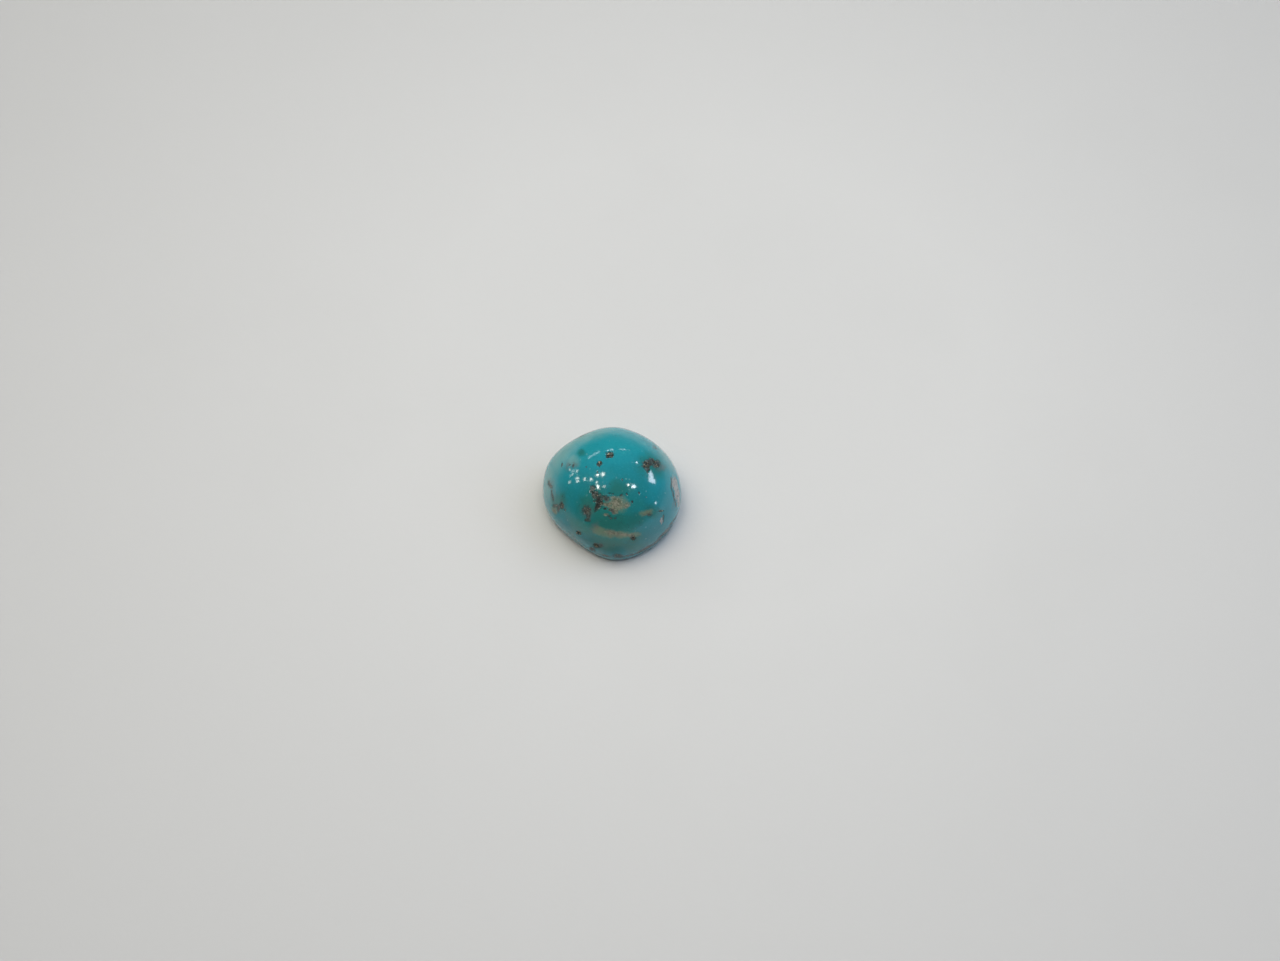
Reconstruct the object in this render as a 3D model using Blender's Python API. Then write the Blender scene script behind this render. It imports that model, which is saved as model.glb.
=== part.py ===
"""Turquoise nugget: one natural stone, ground to a high dome and polished, on a flat base.

Lengths are metres, +Z is up, and the flat base rests on z = 0 with the stone centred over
the origin. Places on the stone are given by a bearing (degrees round the stone from +X
towards +Y) and a rise (degrees up from its widest level, 90 at the very top).
"""

import math

import bmesh
import bpy
from mathutils import Matrix, Vector

MM = 0.001

# ---- Driving dimensions ----
PLAN_RADIUS = 6.5 * MM      # mean radius of the outline seen from above
GIRDLE_HEIGHT = 2.03 * MM   # the level where the stone is widest
CROWN_RISE = 5.87 * MM      # from the widest level to the top of the dome
EDGE_ROUND = 0.35 * MM      # height over which the side rolls into the flat base

# The outline is not a true circle: (swells round the stone, height of a swell, bearing).
OUTLINE_SWELLS = (
    (2, 0.13 * MM, 135.0),
    (3, 0.11 * MM, 8.0),
)

# Two sides are ground flatter: (bearing, rise, distance from the middle, softness).
GROUND_FLATS = (
    (231.0, -12.0, 5.82 * MM, 1.5 * MM),
    (119.0, 15.0, 6.25 * MM, 1.5 * MM),
)

# Small cavities where grains fell out of the matrix: (bearing, rise, mouth radius, depth).
PITS = (
    (102.0, 84.0, 0.38 * MM, 0.20 * MM),
    (-169.0, 80.0, 0.28 * MM, 0.14 * MM),
    (0.0, 61.0, 0.45 * MM, 0.14 * MM),
    (9.0, 49.0, 0.40 * MM, 0.12 * MM),
    (158.0, 62.0, 0.25 * MM, 0.08 * MM),
    (-112.0, 60.0, 0.26 * MM, 0.09 * MM),
    (-101.0, 51.0, 0.30 * MM, 0.10 * MM),
    (-117.0, 42.0, 0.40 * MM, 0.08 * MM),
    (-120.0, 16.0, 0.28 * MM, 0.09 * MM),
    (-104.0, 7.0, 0.32 * MM, 0.11 * MM),
    (-145.0, 31.0, 0.28 * MM, 0.09 * MM),
    (-71.0, 16.0, 0.22 * MM, 0.08 * MM),
    (36.0, 36.0, 0.34 * MM, 0.10 * MM),
    (72.0, 20.0, 0.38 * MM, 0.13 * MM),
    (104.0, 38.0, 0.26 * MM, 0.09 * MM),
    (148.0, 10.0, 0.34 * MM, 0.12 * MM),
)

# Flakes broken from the lower edge, which the polish never reached.
EDGE_CHIPS = (
    (-23.0, -13.0, 0.62 * MM, 0.16 * MM),
    (-39.0, -15.0, 0.80 * MM, 0.27 * MM),
    (-58.0, -17.0, 0.66 * MM, 0.15 * MM),
    (96.0, -14.0, 0.70 * MM, 0.20 * MM),
    (168.0, -15.0, 0.60 * MM, 0.16 * MM),
)

STONE_DIVISIONS = 5         # icosphere steps for the stone
SCOOP_DIVISIONS = 3         # icosphere steps for each pit or chip cutter
NORMAL_STEP = 0.5           # degrees between the two points that give a surface slope

STONE_NAME = "turquoise_stone"
STONE_COLOUR = (0.028, 0.235, 0.292, 1.0)
STONE_ROUGHNESS = 0.12


def clear_scene():
    """Remove every object, so that the script can run again in the same file."""
    for thing in list(bpy.data.objects):
        bpy.data.objects.remove(thing, do_unlink=True)


def new_collection(name, hidden=False):
    """Add a collection to the scene."""
    collection = bpy.data.collections.new(name)
    collection.hide_render = hidden
    bpy.context.scene.collection.children.link(collection)
    return collection


def smooth_max(first, second, blend):
    """The larger of two numbers, with the change from one to the other rounded off."""
    closeness = max(blend - abs(first - second), 0.0)
    return max(first, second) + closeness * closeness / (4.0 * blend)


def direction(bearing, rise):
    """Unit vector for a bearing and a rise, both in radians."""
    return Vector((
        math.cos(rise) * math.cos(bearing),
        math.cos(rise) * math.sin(bearing),
        math.sin(rise),
    ))


def plan_radius(bearing):
    """Radius of the outline at a bearing, with its low swells."""
    radius = PLAN_RADIUS
    for count, height, peak in OUTLINE_SWELLS:
        radius += height * math.cos(count * (bearing - math.radians(peak)))
    return radius


def stone_point(bearing, rise):
    """Point of the ground surface at a bearing and a rise, both in radians."""
    radius = plan_radius(bearing) * math.cos(rise)
    point = Vector((
        radius * math.cos(bearing),
        radius * math.sin(bearing),
        CROWN_RISE * math.sin(rise),
    ))
    for flat_bearing, flat_rise, distance, softness in GROUND_FLATS:
        facing = direction(math.radians(flat_bearing), math.radians(flat_rise))
        point -= facing * smooth_max(point.dot(facing) - distance, 0.0, softness)
    point.z = smooth_max(point.z + GIRDLE_HEIGHT, 0.0, EDGE_ROUND)
    return point


def outward(bearing, rise):
    """Unit vector straight out of the surface at a bearing and a rise, in radians."""
    step = math.radians(NORMAL_STEP)
    across = stone_point(bearing + step, rise) - stone_point(bearing - step, rise)
    upward = stone_point(bearing, rise + step) - stone_point(bearing, rise - step)
    return across.cross(upward).normalized()


def ground_stone_mesh():
    """The whole stone before any pits: a sphere drawn to the ground shape."""
    shape = bmesh.new()
    bmesh.ops.create_icosphere(shape, subdivisions=STONE_DIVISIONS, radius=1.0)
    for corner in shape.verts:
        bearing = math.atan2(corner.co.y, corner.co.x)
        rise = math.asin(max(-1.0, min(1.0, corner.co.z)))
        corner.co = stone_point(bearing, rise)
    return shape


def flatten_base(shape):
    """Merge the triangles that lie on the resting plane into one flat face."""
    resting = [
        face for face in shape.faces
        if all(corner.co.z == 0.0 for corner in face.verts)
    ]
    bmesh.ops.dissolve_faces(shape, faces=resting, use_verts=True)


def centre_shift(shape):
    """Move that brings the middle of the outline over the origin."""
    across = [corner.co.x for corner in shape.verts]
    along = [corner.co.y for corner in shape.verts]
    return Vector((-(min(across) + max(across)) / 2.0, -(min(along) + max(along)) / 2.0, 0.0))


def add_scoop(shape, bearing, rise, mouth, depth):
    """Add a ball that bites a round hollow of this mouth radius and depth."""
    bearing = math.radians(bearing)
    rise = math.radians(rise)
    radius = (mouth * mouth + depth * depth) / (2.0 * depth)
    middle = stone_point(bearing, rise) + outward(bearing, rise) * (radius - depth)
    bmesh.ops.create_icosphere(
        shape,
        subdivisions=SCOOP_DIVISIONS,
        radius=radius,
        matrix=Matrix.Translation(middle),
    )


def add_object(name, shape, collection):
    """Make an object from a bmesh, shaded smooth, and put it in a collection."""
    mesh = bpy.data.meshes.new(name)
    shape.to_mesh(mesh)
    shape.free()
    for face in mesh.polygons:
        face.use_smooth = True
    thing = bpy.data.objects.new(name, mesh)
    collection.objects.link(thing)
    return thing


def polished_turquoise():
    """The colour and gloss of polished turquoise."""
    material = bpy.data.materials.new("polished_turquoise")
    material.use_nodes = True
    shader = material.node_tree.nodes["Principled BSDF"]
    shader.inputs["Base Color"].default_value = STONE_COLOUR
    shader.inputs["Roughness"].default_value = STONE_ROUGHNESS
    shader.inputs["Metallic"].default_value = 0.0
    material.diffuse_color = STONE_COLOUR
    return material


def build_cutters(shift, collection):
    """All the pits and chips as one cutter object."""
    shape = bmesh.new()
    for bearing, rise, mouth, depth in PITS + EDGE_CHIPS:
        add_scoop(shape, bearing, rise, mouth, depth)
    bmesh.ops.translate(shape, verts=shape.verts, vec=shift)
    cutters = add_object("pit_and_chip_cutters", shape, collection)
    cutters.display_type = "WIRE"
    cutters.hide_render = True
    return cutters


def build_stone(collection, cutter_collection):
    """The stone: ground shape, then the pits and edge chips taken out of it."""
    shape = ground_stone_mesh()
    flatten_base(shape)
    shift = centre_shift(shape)
    bmesh.ops.translate(shape, verts=shape.verts, vec=shift)
    stone = add_object(STONE_NAME, shape, collection)
    stone.data.materials.append(polished_turquoise())
    cut = stone.modifiers.new("pits_and_chips", "BOOLEAN")
    cut.operation = "DIFFERENCE"
    cut.solver = "EXACT"
    cut.object = build_cutters(shift, cutter_collection)
    return stone


clear_scene()
nugget = new_collection("turquoise_nugget")
cutting = new_collection("cutters", hidden=True)
build_stone(nugget, cutting)
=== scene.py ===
# %% [markdown]
# # A polished turquoise
# This lesson dresses one small stone. On the real object it is a single piece of
# turquoise, ground to a high dome on a flat base and polished. Brown and tan host rock,
# called matrix, runs through it, with tiny pits and grains of pyrite.
# The measured solid is loaded first, so that everything after it can take its sizes
# from the solid instead of from loose numbers.

# %% Load the measured stone
import math
import random

import bmesh
import bpy
import numpy as np
from mathutils import Matrix, Vector, noise


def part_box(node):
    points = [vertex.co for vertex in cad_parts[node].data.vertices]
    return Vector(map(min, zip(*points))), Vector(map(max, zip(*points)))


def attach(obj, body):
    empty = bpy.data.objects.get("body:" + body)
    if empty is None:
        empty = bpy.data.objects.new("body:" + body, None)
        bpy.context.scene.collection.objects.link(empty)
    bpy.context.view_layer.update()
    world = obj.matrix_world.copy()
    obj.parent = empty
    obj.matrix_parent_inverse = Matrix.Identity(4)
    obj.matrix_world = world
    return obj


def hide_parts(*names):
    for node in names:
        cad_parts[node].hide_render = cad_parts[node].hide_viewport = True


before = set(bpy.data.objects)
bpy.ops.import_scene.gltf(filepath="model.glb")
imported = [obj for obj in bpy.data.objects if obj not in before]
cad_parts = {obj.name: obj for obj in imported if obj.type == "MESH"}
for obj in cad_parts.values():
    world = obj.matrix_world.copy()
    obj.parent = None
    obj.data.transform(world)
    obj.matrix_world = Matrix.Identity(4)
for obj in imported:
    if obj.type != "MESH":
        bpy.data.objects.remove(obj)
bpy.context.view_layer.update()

MM = 0.001
TINY = 1e-12
CAD_NODE = "turquoise_stone"

box_low, box_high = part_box(CAD_NODE)
stone_width = box_high.x - box_low.x
stone_height = box_high.z - box_low.z
print(f"stone: {stone_width / MM:.2f} mm wide, {stone_height / MM:.2f} mm high")

# %% [markdown]
# ## The ground shape
# A cutter holds the stone against a wheel and turns it, so the dome is close to half an
# ellipsoid, a little uneven, with its sides drawn in below the widest level. A sculpted
# mesh could copy that, but a formula keeps the polish perfectly smooth: every point of a
# unit sphere is moved to the place the formula gives for its direction.
# Places on the stone are a bearing (degrees round it, from +X towards +Y) and a rise
# (degrees up from the widest level, 90 at the top).

# %% The grinding formula
PLAN_RADIUS = 0.4995 * stone_width
GIRDLE_HEIGHT = 0.257 * stone_height
CROWN_RISE = stone_height - GIRDLE_HEIGHT
EDGE_ROUND = 0.044 * stone_height

# Low swells of the outline: (swells round the stone, height of one, bearing of one).
OUTLINE_SWELLS = (
    (2, 0.020 * PLAN_RADIUS, 135.0),
    (3, 0.017 * PLAN_RADIUS, 8.0),
)

# Sides ground flatter: (bearing, rise, distance from the middle, softness).
GROUND_FLATS = (
    (231.0, -12.0, 0.8954 * PLAN_RADIUS, 0.231 * PLAN_RADIUS),
    (119.0, 15.0, 0.9615 * PLAN_RADIUS, 0.231 * PLAN_RADIUS),
)


def smooth_max(first, second, blend):
    """The larger of two values, with the change from one to the other rounded off."""
    closeness = np.clip(blend - np.abs(first - second), 0.0, None)
    return np.maximum(first, second) + closeness ** 2 / (4.0 * blend)


def direction(bearing, rise):
    """Unit vector for a bearing and a rise in degrees."""
    bearing = math.radians(bearing)
    rise = math.radians(rise)
    return np.array([
        math.cos(rise) * math.cos(bearing),
        math.cos(rise) * math.sin(bearing),
        math.sin(rise),
    ])


def ground_surface(directions):
    """Points of the ground stone for unit directions, one row each."""
    bearing = np.arctan2(directions[:, 1], directions[:, 0])
    flatness = np.hypot(directions[:, 0], directions[:, 1])
    radius = np.full(len(directions), PLAN_RADIUS)
    for count, height, peak in OUTLINE_SWELLS:
        radius += height * np.cos(count * (bearing - math.radians(peak)))
    points = np.column_stack([
        radius * flatness * np.cos(bearing),
        radius * flatness * np.sin(bearing),
        CROWN_RISE * directions[:, 2],
    ])
    for flat_bearing, flat_rise, distance, softness in GROUND_FLATS:
        facing = direction(flat_bearing, flat_rise)
        excess = smooth_max(points @ facing - distance, 0.0, softness)
        points -= excess[:, None] * facing
    points[:, 2] = smooth_max(points[:, 2] + GIRDLE_HEIGHT, 0.0, EDGE_ROUND)
    return points


def outward(directions, step=0.002):
    """Unit normals of the ground surface, from points a small step apart."""
    sideways = np.cross((0.0, 0.0, 1.0), directions)
    length = np.linalg.norm(sideways, axis=1, keepdims=True)
    sideways = np.where(length > TINY, sideways / np.maximum(length, TINY), (1.0, 0.0, 0.0))
    upward = np.cross(directions, sideways)
    across = ground_surface(directions + step * sideways) - ground_surface(directions - step * sideways)
    along = ground_surface(directions + step * upward) - ground_surface(directions - step * upward)
    normals = np.cross(across, along)
    return normals / np.maximum(np.linalg.norm(normals, axis=1, keepdims=True), TINY)


print(f"the widest level is {GIRDLE_HEIGHT / MM:.2f} mm above the base")

# %% [markdown]
# ## Where the markings lie
# The look of this stone is in where its markings sit, so they are written down one by
# one, the way a gem dealer would map them: a bearing and a rise for the middle, half the
# length and half the breadth in millimetres, and the lean of the long side. Random
# scatter alone would never give the tan star in front or the pair of pits on the crown.
# The markings are sorted by what they are made of: bare clay, clay or grey rock that
# lies just under the polish and shows through it, pale quartz, brown matrix, black
# specks, and the green halo that iron leaves in the turquoise round them all. Two short
# lists tell where a pale painted reflection is laid over the turquoise and where its
# polish is thinner.

# %% The map: clay, quartz and veiled rock
# Each patch: (bearing, rise, half length, half breadth, lean).
TAN_PATCHES = (
    (-81.0, 53.5, 0.72, 0.60, 0.0),         # the star on the front of the dome
    (-82.0, 58.5, 0.50, 0.24, -5.0),        # its top
    (-93.5, 54.0, 0.44, 0.28, 0.0),         # its left arm
    (-84.0, 48.0, 0.40, 0.26, -6.0),        # its lower point
    (-68.0, 50.5, 0.33, 0.26, -40.0),       # the lobe on its right
    (-94.0, 44.5, 0.22, 0.12, 0.0),         # a crumb below it
    (-88.5, 28.2, 0.78, 0.23, -8.0),        # yellow heart of the streak
    (-77.0, 24.8, 0.70, 0.20, -20.0),
    (-151.0, 17.5, 0.40, 0.20, 66.0),       # low on the left flank
    (84.0, 14.0, 0.80, 0.34, 12.0),         # back
    (127.0, 30.0, 0.42, 0.24, -30.0),
)

CLAY_VEILS = (
    (-80.0, 53.0, 1.02, 0.80, -5.0),        # round the star
    (-100.0, 29.5, 0.75, 0.42, -14.0),      # the streak below it, from left to right
    (-90.0, 27.5, 0.95, 0.50, -9.0),
    (-80.0, 25.5, 0.95, 0.46, -16.0),
    (-69.5, 21.8, 0.90, 0.32, -24.0),
    (-50.5, 36.5, 0.80, 0.30, -24.0),       # round the spot on the right
    (-151.0, 17.5, 0.66, 0.44, 66.0),       # low on the left flank
    (84.0, 14.0, 1.15, 0.62, 12.0),         # back
    (127.0, 30.0, 0.70, 0.40, -30.0),
)

GREY_VEILS = (
    (-98.0, 58.5, 0.46, 0.26, 0.0),         # shoulder of the star
    (-117.0, 43.0, 0.86, 0.74, 80.0),       # round the patch left of it
    (-105.0, 32.0, 0.66, 0.44, 70.0),       # left end of the streak
    (175.0, 56.0, 0.95, 0.45, 62.0),        # mottled cloud on the upper left
    (178.0, 52.0, 0.60, 0.34, 15.0),
    (6.0, 43.5, 0.95, 0.50, -60.0),         # beside the cluster
    (34.0, 39.0, 0.62, 0.34, -62.0),        # upper right rim
    (-174.0, 28.0, 0.90, 0.62, 20.0),       # band along the left flank
    (-163.0, 26.5, 0.80, 0.60, -8.0),
    (-148.0, 26.0, 0.50, 0.34, -75.0),
    (-120.0, 15.5, 0.50, 0.22, 58.0),       # low in front, left
    (-19.0, 18.0, 0.75, 0.52, 20.0),        # right flank
    (-36.0, -1.0, 1.30, 0.62, -10.0),       # band along the lower edge on the right
    (-54.0, -4.0, 1.25, 0.56, -8.0),
    (96.0, 25.0, 1.30, 0.50, 0.0),          # back
)

PALE_PATCHES = (
    (-4.0, 24.0, 0.86, 0.66, 35.0),         # quartz on the right flank
    (-9.5, 17.5, 0.95, 0.66, 62.0),
    (-13.0, 10.0, 0.60, 0.38, 64.0),
    (-40.8, 18.6, 0.40, 0.12, 72.0),        # painted highlight low on the right: a pale streak for a glint off a pit wall
    (138.0, 14.0, 0.52, 0.26, 30.0),        # back
    (118.0, 2.5, 0.60, 0.20, 4.0),
)

print(f"{len(TAN_PATCHES)} patches of bare clay, {len(PALE_PATCHES)} of quartz")

# %% The map: matrix, specks and halos
BROWN_PATCHES = (
    (96.0, 83.5, 0.40, 0.31, 20.0),         # lining of the two pits on the crown
    (-170.0, 81.0, 0.30, 0.22, -30.0),
    (-123.0, 62.5, 0.38, 0.24, -60.0),      # broken column left of the star
    (-114.0, 59.5, 0.46, 0.27, -70.0),
    (-107.5, 60.5, 0.22, 0.17, 0.0),
    (-106.5, 55.0, 0.54, 0.34, -75.0),
    (-105.5, 50.0, 0.46, 0.28, 80.0),
    (-98.0, 58.5, 0.38, 0.17, 0.0),         # shoulder of the star
    (-118.5, 45.0, 0.46, 0.36, 60.0),       # round patch left of it
    (-114.0, 41.0, 0.34, 0.28, 90.0),
    (-113.0, 36.5, 0.35, 0.22, 20.0),
    (-88.0, 48.5, 0.30, 0.20, -24.0),       # crumbs under the star
    (-89.0, 42.0, 0.28, 0.10, -16.0),
    (-49.0, 33.5, 0.30, 0.16, -44.0),       # spot on the right
    (-37.0, 27.5, 0.34, 0.09, -48.0),
    (-38.4, 19.5, 0.38, 0.08, 72.0),
    (-70.0, 19.0, 0.33, 0.24, -70.0),       # right end of the streak
    (-120.0, 15.5, 0.44, 0.22, 58.0),       # low in front
    (-102.0, 10.0, 0.66, 0.36, 52.0),
    (-108.0, -3.0, 0.66, 0.26, 70.0),
    (-84.0, -3.5, 0.60, 0.44, -36.0),
    (-95.0, -6.5, 0.44, 0.22, 0.0),
    (-174.0, 27.5, 0.60, 0.15, 24.0),       # band along the left flank
    (-163.0, 26.5, 0.56, 0.16, -10.0),
    (-147.0, 26.5, 0.38, 0.20, -78.0),
    (-152.0, 23.5, 0.50, 0.20, 60.0),
    (-145.5, 31.5, 0.34, 0.30, 0.0),
    (3.0, 59.5, 0.56, 0.40, -44.0),         # cluster right of the crown
    (8.0, 49.0, 0.60, 0.36, -40.0),
    (-6.0, 58.5, 0.34, 0.22, 0.0),
    (12.0, 53.5, 0.40, 0.24, 0.0),
    (-7.0, 30.3, 0.66, 0.12, 17.0),         # dark edge of the quartz
    (-15.0, 23.5, 0.66, 0.12, 60.0),
    (-18.0, 15.5, 0.46, 0.11, 70.0),
    (34.5, 38.5, 0.20, 0.12, -62.0),        # upper right rim
    (-27.0, 0.5, 0.80, 0.17, -14.0),        # seam along the lower edge on the right
    (-37.0, -2.5, 0.95, 0.36, -18.0),
    (-46.0, -3.5, 0.62, 0.20, 20.0),
    (-49.0, -7.0, 0.90, 0.22, -8.0),
    (-61.0, -6.0, 0.80, 0.34, 6.0),
    (-72.0, -7.5, 0.80, 0.15, -4.0),
    (62.0, 12.0, 0.70, 0.13, 28.0),         # vein across the back
    (74.0, 20.0, 0.72, 0.17, 24.0),
    (88.0, 25.0, 0.80, 0.15, 6.0),
    (104.0, 24.0, 0.78, 0.12, -14.0),
    (119.0, 27.0, 0.70, 0.17, 30.0),
    (115.0, 36.0, 0.46, 0.12, 62.0),
    (124.0, 44.0, 0.44, 0.10, 20.0),
    (147.0, 9.5, 0.44, 0.34, 0.0),
    (160.0, 2.0, 0.60, 0.14, -35.0),
    (168.0, -4.0, 0.34, 0.10, 10.0),
    (97.0, 11.0, 0.24, 0.20, 0.0),
    (57.0, 21.0, 0.30, 0.24, 0.0),
    (51.0, 16.0, 0.26, 0.09, 40.0),
    (112.0, 1.0, 0.50, 0.16, 12.0),         # low at the back
    (123.0, 3.5, 0.34, 0.22, -20.0),
    (52.0, -4.0, 0.56, 0.13, -12.0),
)

DARK_SPECKS = (
    (179.0, 57.5, 0.19, 0.13, 0.0),         # upper left of the dome
    (175.5, 53.5, 0.12, 0.10, 0.0),
    (172.0, 45.5, 0.21, 0.13, 0.0),
    (-171.0, 70.0, 0.14, 0.10, 0.0),
    (-154.0, 80.5, 0.10, 0.09, 0.0),        # near the crown
    (-138.0, 76.0, 0.12, 0.10, 0.0),
    (-57.5, 71.5, 0.17, 0.10, 60.0),        # round the star
    (-92.0, 62.5, 0.14, 0.11, 0.0),
    (-45.0, 55.0, 0.10, 0.08, 0.0),
    (-41.0, 49.0, 0.08, 0.07, 0.0),
    (-86.0, 62.5, 0.12, 0.09, 0.0),
    (-73.0, 60.5, 0.17, 0.12, 0.0),
    (-62.0, 59.0, 0.13, 0.11, 0.0),
    (-61.0, 51.5, 0.18, 0.10, 66.0),
    (-109.0, 56.5, 0.32, 0.16, -72.0),      # in the broken column
    (-113.0, 54.0, 0.18, 0.10, -70.0),
    (-105.5, 51.5, 0.40, 0.16, 75.0),
    (-118.0, 60.0, 0.20, 0.12, -50.0),
    (-97.0, 50.0, 0.18, 0.11, 0.0),
    (-91.0, 44.0, 0.17, 0.09, 0.0),         # crumbs under the star
    (-84.0, 41.5, 0.15, 0.09, 0.0),
    (-103.0, 9.5, 0.24, 0.12, 50.0),        # low in front
    (-108.0, -3.0, 0.34, 0.12, 70.0),
    (4.0, 55.5, 0.26, 0.16, -58.0),         # in the cluster
    (-7.0, 57.5, 0.26, 0.15, -30.0),
    (14.0, 52.0, 0.25, 0.16, -40.0),
    (6.5, 47.5, 0.28, 0.17, -60.0),
    (-1.0, 61.5, 0.26, 0.15, 20.0),
    (9.5, 56.0, 0.28, 0.17, 30.0),
    (-49.0, 53.0, 0.07, 0.06, 0.0),         # right of the star
    (110.0, 20.0, 0.16, 0.12, 0.0),         # back
    (58.0, 28.0, 0.13, 0.10, 0.0),
    (139.0, 20.0, 0.14, 0.10, 0.0),
)

HALOS = (
    (-90.0, 38.5, 1.75, 0.82, -2.0),        # between the star and the streak
    (-74.0, 65.5, 0.95, 0.85, 0.0),         # dark corner above the star
    (-64.0, 35.5, 1.15, 0.70, -12.0),
    (-117.0, 48.0, 1.00, 0.95, 0.0),        # round the column and the patch
    (-127.0, 50.0, 0.50, 0.46, 0.0),
    (-109.0, 56.5, 1.10, 0.84, -73.0),
    (154.5, 63.0, 0.46, 0.34, 80.0),        # upper left
    (5.0, 53.5, 1.60, 1.20, -60.0),         # round the cluster
    (-69.0, 18.0, 0.70, 0.50, 0.0),
    (-94.0, 11.5, 2.00, 0.92, -8.0),        # low in front
    (-149.0, 36.0, 0.64, 0.40, -43.0),      # left flank
    (-152.0, 28.0, 1.10, 0.80, 62.0),
    (-45.0, 33.5, 0.85, 0.62, -50.0),       # right flank
    (92.0, 22.0, 2.10, 0.90, 0.0),          # back
    (120.0, 38.0, 0.95, 0.70, 60.0),
    (150.0, 8.0, 1.00, 0.70, 0.0),
    (117.0, 2.0, 1.10, 0.60, 8.0),
)

# Painted reflection: flanks where a pale teal is painted over the turquoise,
# standing in for the pale floor and walls mirrored at the rim.
PAINTED_REFLECTION_FLANKS = (
    (151.0, 41.0, 3.30, 2.20, 0.0),         # upper left
    (170.0, 57.0, 1.25, 0.85, 60.0),
    (118.0, 48.0, 2.90, 2.00, 0.0),         # back
    (-177.0, 24.0, 2.50, 1.60, -20.0),      # left
    (24.0, 30.0, 2.60, 1.40, 0.0),          # right
)

# Flanks where the last wheel hardly reached, so the polish is thinner.
DULL_FLANKS = (
    (-140.0, 10.0, 2.20, 1.90, 0.0),
    (-112.0, 6.0, 2.40, 1.80, 0.0),
    (-88.0, 3.0, 1.90, 1.30, 0.0),
)

# The body colour deepens towards one side of the dome.
DEEP_BEARING = -95.0
DEEP_RISE = 30.0

print(f"{len(BROWN_PATCHES)} patches of matrix, {len(DARK_SPECKS)} dark specks")

# %% The map: hollows
# Each hollow: (bearing, rise, mouth radius, depth).
PITS = (
    (96.0, 83.5, 0.41, 0.20),               # the pair on the crown
    (-170.0, 81.0, 0.28, 0.14),
    (3.0, 59.5, 0.38, 0.13),                # in the cluster
    (8.0, 49.0, 0.38, 0.12),
    (-112.0, 59.5, 0.18, 0.07),             # in the broken column
    (-103.0, 54.0, 0.25, 0.09),
    (-117.0, 43.5, 0.30, 0.07),             # in the round patch
    (-120.0, 16.0, 0.30, 0.09),             # low in front
    (-103.0, 9.5, 0.28, 0.09),
    (-146.0, 31.5, 0.26, 0.09),             # left flank
    (-140.0, 31.0, 0.14, 0.06),
    (-70.0, 17.5, 0.24, 0.08),              # right end of the streak
    (72.0, 20.0, 0.36, 0.12),               # back
    (97.0, 11.0, 0.20, 0.07),
    (148.0, 10.0, 0.32, 0.11),
)

EDGE_CHIPS = (
    (-24.0, -13.5, 0.50, 0.10),
    (-39.0, -15.0, 0.78, 0.26),             # the notch in the lower edge
    (-58.0, -17.0, 0.56, 0.12),
    (96.0, -14.0, 0.70, 0.20),
    (168.0, -15.0, 0.60, 0.16),
)

MARKINGS = TAN_PATCHES + PALE_PATCHES + BROWN_PATCHES + DARK_SPECKS
VEILS = CLAY_VEILS + GREY_VEILS + HALOS
print(f"{len(MARKINGS)} markings, {len(VEILS)} veils and halos, {len(PITS)} pits")

# %% [markdown]
# ## A sphere that is finest where the detail is
# A stone shape needs even triangles for its polish, and much smaller ones for a pit half
# a millimetre wide. One very fine sphere would waste them, so an icosphere of medium
# fineness is split again only round the markings, and once more round the pits.

# %% Sphere with fine patches
PLAIN_DIVISIONS = 7
MARGIN = 0.12 * MM


def middles_and_reach(patches, extra):
    """Directions of patch middles and how far each reaches on the unit sphere."""
    middles = np.array([direction(patch[0], patch[1]) for patch in patches])
    sizes = np.array([max(patch[2], patch[3]) for patch in patches]) * MM
    return middles, (sizes + extra) / PLAN_RADIUS


def split_near(shape, middles, reaches):
    """Split every triangle whose middle lies within reach of one of the middles."""
    faces = list(shape.faces)
    centres = np.array([face.calc_center_median() for face in faces])
    gaps = np.linalg.norm(centres[:, None, :] - middles[None, :, :], axis=2)
    wanted = (gaps < reaches[None, :]).any(axis=1)
    edges = {edge for face, take in zip(faces, wanted) if take for edge in face.edges}
    bmesh.ops.subdivide_edges(shape, edges=list(edges), cuts=1, use_grid_fill=True)
    bmesh.ops.triangulate(shape, faces=[face for face in shape.faces if len(face.verts) > 3])
    for corner in shape.verts:
        corner.co.normalize()


stone_shape = bmesh.new()
bmesh.ops.create_icosphere(stone_shape, subdivisions=PLAIN_DIVISIONS, radius=1.0)
split_near(stone_shape, *middles_and_reach(MARKINGS + PITS + EDGE_CHIPS, MARGIN))
split_near(stone_shape, *middles_and_reach(PITS, MARGIN))
print(len(stone_shape.faces), "triangles on the sphere")

# %% [markdown]
# ## From a list of patches to a ragged field
# Markings have ragged edges, and both the shape and the colour have to follow the same
# edge. So each list is turned into one number at every point: 1 in the middle of a patch,
# 0 on its edge and less outside. To make the edges ragged, the points are first shifted
# about by noise, as if the map had been drawn on cloth and then crumpled.
# An image mask would need a texture; numbers stored on the points stay sharp from any
# side and travel with the mesh.

# %% Frames and noise on the stone
# Crumpling of the map: (size of a fold, how far it shifts a point).
CRUMPLES = (
    (0.60 * MM, 0.17 * MM),
    (0.20 * MM, 0.07 * MM),
)
# Without a seed of its own, the noise that shifts points would differ from run to run.
CRUMPLE_SEED = 7

# From one octave of noise to the next the lumps get smaller and fainter.
OCTAVE_STEP = 2.0
OCTAVE_FADE = 0.9


def tangent_frame(bearing, rise, lean=0.0):
    """Middle of a place on the stone, with unit vectors along it, across it and outward."""
    here = direction(bearing, rise)[None, :]
    middle = ground_surface(here)[0]
    out = outward(here)[0]
    level = direction(bearing + 90.0, 0.0)
    level = level - out * (level @ out)
    level /= np.linalg.norm(level)
    uphill = np.cross(out, level)
    turn = math.radians(lean)
    along = math.cos(turn) * level + math.sin(turn) * uphill
    across = math.cos(turn) * uphill - math.sin(turn) * level
    return middle, along, across, out


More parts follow.
